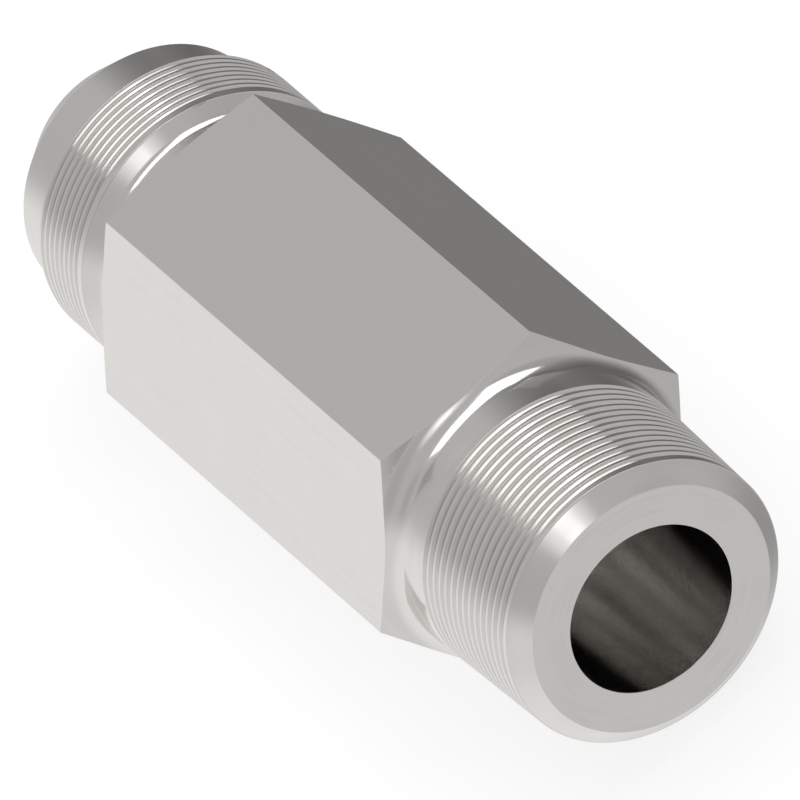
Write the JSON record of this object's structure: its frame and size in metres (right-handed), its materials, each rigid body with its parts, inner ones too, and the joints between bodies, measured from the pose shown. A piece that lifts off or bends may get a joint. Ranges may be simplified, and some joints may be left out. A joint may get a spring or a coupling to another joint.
{
  "type": "straight adapter fitting",
  "caption": "Straight hydraulic adapter: taper pipe thread, long wrench hexagon, straight thread with a 37 degree flare cone, and a through bore.",
  "frame": {"origin": "on the bore axis, halfway along the hexagon's corner edges", "axes": "+X along the bore axis towards the pipe thread's end, +Z across two flats of the hexagon, one flat facing down"},
  "size_m": [0.0887, 0.033, 0.0286],
  "materials": {
    "machined_steel": "fine turned and milled bright steel, satin"
  },
  "bodies": {
    "root": {"adapter_body": "machined_steel"}
  },
  "joints": []
}
